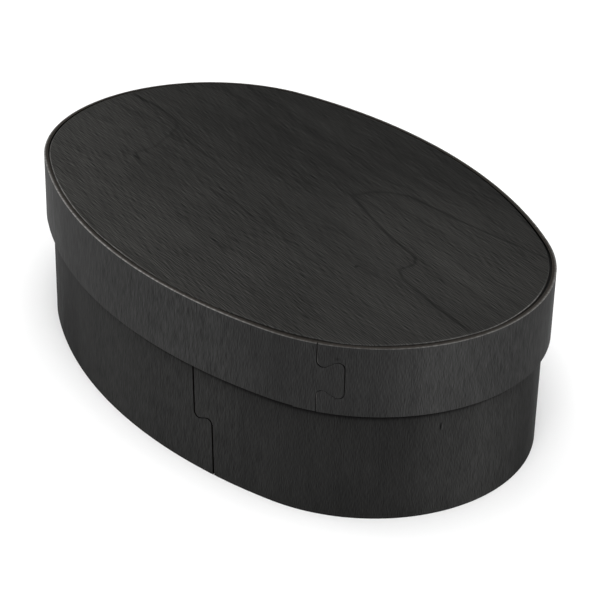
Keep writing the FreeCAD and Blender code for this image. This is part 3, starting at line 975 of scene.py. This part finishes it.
class BOX_OT_inner_plies(bpy.types.Operator):
    """Bend the inner plies of lid and base, each closed by a butt joint"""

    bl_idname = "box.inner_plies"
    bl_label = "Inner plies"

    def execute(self, context):
        sizes, keys, look = context.scene.box_sizes, context.scene.box_keys, context.scene.box_stain
        tree = bend_tree()
        material = stained_wall(
            "black_stained_lining", look.lining, look.base_gloss, look, groove=LID_HIGH.z
        )
        jobs = (
            ("lid_inner_ply", "lid_inner_band", "lid", keys.lid_butt_place, 0.0, LID_LOW.z, LID_HIGH.z),
            ("base_inner_ply", "base_inner_band", "base", keys.base_butt_place, sizes.base_inset,
             BASE_LOW.z, BASE_HIGH.z),
        )
        for name, node, body, place, inset, bottom, top in jobs:
            oval = Oval(sizes, inset + sizes.outer_ply)
            gap = keys.butt_kerf / 2
            first = place + gap
            last = place - gap + oval.perimeter
            start = [Vector((first, top)), Vector((first, bottom))]
            end = [Vector((last, top)), Vector((last, bottom))]
            roundings = (sizes.lining_round, sizes.lining_round)
            mesh = strip_mesh(
                name, oval, start, [], end, sizes.inner_ply, roundings, LINING_TONES, LINING_RUBS_AND_HIGHLIGHTS
            )
            dress(bend(name, mesh, tree, oval, material), node, body)
        return {"FINISHED"}


class BOX_OT_boards(bpy.types.Operator):
    """Make the lid's top board and the base's bottom board"""

    bl_idname = "box.boards"
    bl_label = "Boards"

    def execute(self, context):
        sizes, look = context.scene.box_sizes, context.scene.box_stain
        tree = bend_tree()
        wall = sizes.outer_ply + sizes.inner_ply
        jobs = (
            ("lid_top_board", "lid_panel", "lid", wall, TOP_LOW.z, TOP_HIGH.z, True, LID_GAPS),
            ("base_bottom_board", "base_panel", "base", wall + sizes.base_inset, FLOOR_LOW.z,
             FLOOR_HIGH.z, False, steady(sizes.groove_width)),
        )
        for name, node, body, inset, bottom, top, face_up, gaps in jobs:
            oval = Oval(sizes, inset)
            mesh = board_mesh(name, oval, bottom, top, face_up, sizes, gaps)
            shift = 0.0 if face_up else oval.length / MM
            material = stained_board(name, look.board, look, shift, face_up)
            dress(bend(name, mesh, tree, oval, material), node, body)
        return {"FINISHED"}


class BOX_OT_stage(bpy.types.Operator):
    """Set the pale floor, the soft light and the camera"""

    bl_idname = "box.stage"
    bl_label = "Stage"

    def execute(self, context):
        look = context.scene.box_stage
        add_floor(look)
        add_lights(look)
        add_camera()
        return {"FINISHED"}


def add_floor(look):
    """A plain matt floor that reaches past the picture on all sides."""
    mesh = bpy.data.meshes.new("floor")
    reach = 4.0
    corners = [(-reach, -reach, 0), (reach, -reach, 0), (reach, reach, 0), (-reach, reach, 0)]
    mesh.from_pydata(corners, [], [(0, 1, 2, 3)])
    floor = bpy.data.objects.new("floor", mesh)
    bpy.context.scene.collection.objects.link(floor)
    material, _, surface = new_material("pale_floor")
    matt = 0.9
    surface.inputs["Base Color"].default_value = rgba(look.floor)
    surface.inputs["Roughness"].default_value = matt
    mesh.materials.append(material)


def add_lights(look):
    """Five square softboxes that point at the box, and even light all round."""
    scene = bpy.context.scene
    world = bpy.data.worlds.new("even_light")
    world.use_nodes = True
    background = world.node_tree.nodes["Background"]
    background.inputs["Color"].default_value = (1, 1, 1, 1)
    background.inputs["Strength"].default_value = look.ambient
    scene.world = world
    # Place and side in metres, and power in watts.
    jobs = (
        ("overhead_softbox", (0.0, 0.0, 1.3), 1.6, 19.3),
        ("rear_softbox", (0.0, 1.5, 0.8), 1.0, 2.4),
        ("front_softbox", (0.87, -0.61, 1.06), 1.0, 14.3),
        ("left_softbox", (-1.02, -0.27, 1.06), 1.0, 5.5),
        ("right_softbox", (1.30, 0.23, 0.70), 0.8, 3.5),
    )
    for name, place, size, power in jobs:
        lamp = bpy.data.lights.new(name, "AREA")
        lamp.shape = "SQUARE"
        lamp.size = size
        lamp.energy = power * look.power
        holder = bpy.data.objects.new(name, lamp)
        holder.location = place
        holder.rotation_euler = (-Vector(place)).to_track_quat("-Z", "Y").to_euler()
        scene.collection.objects.link(holder)
    scene.view_settings.view_transform = "Standard"


def add_camera():
    """The photograph's view: its direction, the focal length and centre in its pixels."""
    azimuth, elevation, roll = math.radians(55.387), math.radians(28.729), 0.02
    distance = 0.7812
    aim_height = 0.03517
    focal = 2018.84
    centre_x, centre_y = 285.94, 280.07
    picture = 600
    sensor = 36.0
    camera = bpy.data.cameras.new("camera")
    camera.sensor_width = sensor
    camera.lens = focal / picture * sensor
    camera.shift_x = 0.5 - centre_x / picture
    camera.shift_y = centre_y / picture - 0.5
    outwards = math.cos(elevation)
    back = Vector((math.sin(azimuth) * outwards, -math.cos(azimuth) * outwards, math.sin(elevation)))
    right = Vector((0, 0, 1)).cross(back).normalized()
    up = back.cross(right)
    level = Matrix((right, up, back)).transposed()
    turn = level @ Matrix.Rotation(roll, 3, "Z")
    stand = Matrix.Translation(back * distance + Vector((0, 0, aim_height)))
    holder = bpy.data.objects.new("camera", camera)
    holder.matrix_world = stand @ turn.to_4x4()
    bpy.context.scene.collection.objects.link(holder)
    bpy.context.scene.camera = holder


class BOX_PT_sidebar(bpy.types.Panel):
    """Steps and values of the oval box"""

    bl_idname = "BOX_PT_sidebar"
    bl_label = "Oval box"
    bl_space_type = "VIEW_3D"
    bl_region_type = "UI"
    bl_category = "Oval box"

    def draw(self, context):
        for operator in OPERATORS:
            self.layout.operator(operator.bl_idname)
        for name in GROUPS:
            group = getattr(context.scene, name)
            box = self.layout.box()
            for prop in group.bl_rna.properties:
                if prop.identifier not in ("rna_type", "name"):
                    box.prop(group, prop.identifier)


OPERATORS = (BOX_OT_outer_plies, BOX_OT_inner_plies, BOX_OT_boards, BOX_OT_stage)
GROUPS = {"box_sizes": BoxSizes, "box_keys": BoxKeys, "box_stain": StainLook, "box_stage": StageLook}
CLASSES = tuple(GROUPS.values()) + OPERATORS + (BOX_PT_sidebar,)


def register():
    for each in CLASSES:
        bpy.utils.register_class(each)
    for name, group in GROUPS.items():
        setattr(bpy.types.Scene, name, PointerProperty(type=group))


def unregister():
    for name in GROUPS:
        delattr(bpy.types.Scene, name)
    for each in reversed(CLASSES):
        bpy.utils.unregister_class(each)


def build_box():
    register()
    bpy.ops.box.outer_plies()
    bpy.ops.box.inner_plies()
    bpy.ops.box.boards()
    bpy.ops.box.stage()


if __name__ == "__main__":
    build_box()
